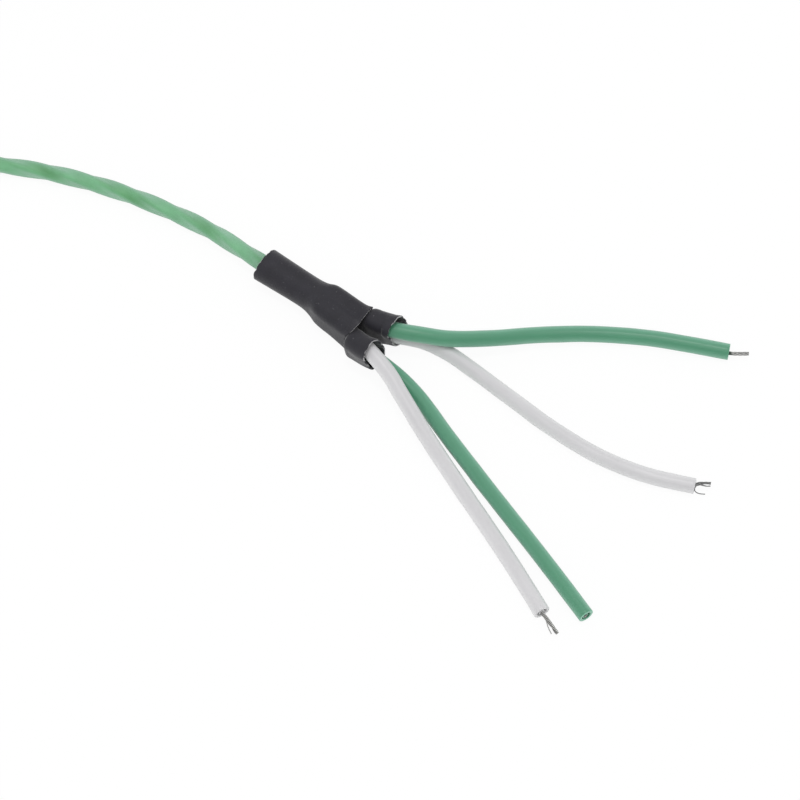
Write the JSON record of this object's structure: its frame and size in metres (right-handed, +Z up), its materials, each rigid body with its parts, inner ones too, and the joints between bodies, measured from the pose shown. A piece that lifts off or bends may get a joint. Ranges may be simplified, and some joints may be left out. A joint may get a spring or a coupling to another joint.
{
  "type": "mineral insulated thermocouple",
  "caption": "Metal-sheathed temperature probe with a domed tip, crimped transition pot, wound-up green lead cable, black split sleeves and stripped green and white tails.",
  "frame": {"origin": "on the bench, under the middle of the probe from the rear face of its pot to the tip of its sheath", "axes": "+X along the probe towards its tip, +Z up from the bench, +Y to the left of the probe, away from the split end of the lead"},
  "size_m": [0.2386, 0.1215, 0.008],
  "materials": {
    "sheath_steel": "satin",
    "magnesia": "matte",
    "positive_metal": "satin",
    "negative_metal": "satin",
    "resin": "matte",
    "tinned": "satin",
    "black_sleeve": "matte",
    "cable_green": "satin",
    "tail_green": "satin",
    "tail_white": "satin",
    "strand_metal": "satin"
  },
  "bodies": {
    "root": {"sheath": "sheath_steel", "mineral_fill": "magnesia", "thermoelement_positive_1": "positive_metal", "thermoelement_negative_1": "negative_metal", "thermoelement_positive_2": "positive_metal", "thermoelement_negative_2": "negative_metal", "hot_junction_1": "negative_metal", "hot_junction_2": "negative_metal", "pot_body": "sheath_steel", "pot_sealant": "resin", "splice_positive_1": "tinned", "splice_negative_1": "tinned", "splice_positive_2": "tinned", "splice_negative_2": "tinned", "core_end_positive_1": "tail_green", "core_end_negative_1": "tail_white", "core_end_positive_2": "tail_green", "core_end_negative_2": "tail_white", "strain_relief": "black_sleeve", "cable_run_probe": "cable_green", "cable_coil": "cable_green", "coil_tie": "black_sleeve", "cable_run_split": "cable_green", "split_sleeve": "black_sleeve", "pair_sleeve_1": "black_sleeve", "pair_sleeve_2": "black_sleeve", "tail_green_1": "tail_green", "tail_white_1": "tail_white", "tail_green_2": "tail_green", "tail_white_2": "tail_white", "core_green_1": "tail_green", "core_white_1": "tail_white", "core_green_2": "tail_green", "core_white_2": "tail_white", "strands_green_1": "strand_metal", "strands_white_1": "strand_metal", "strands_green_2": "strand_metal", "strands_white_2": "strand_metal"}
  },
  "joints": []
}
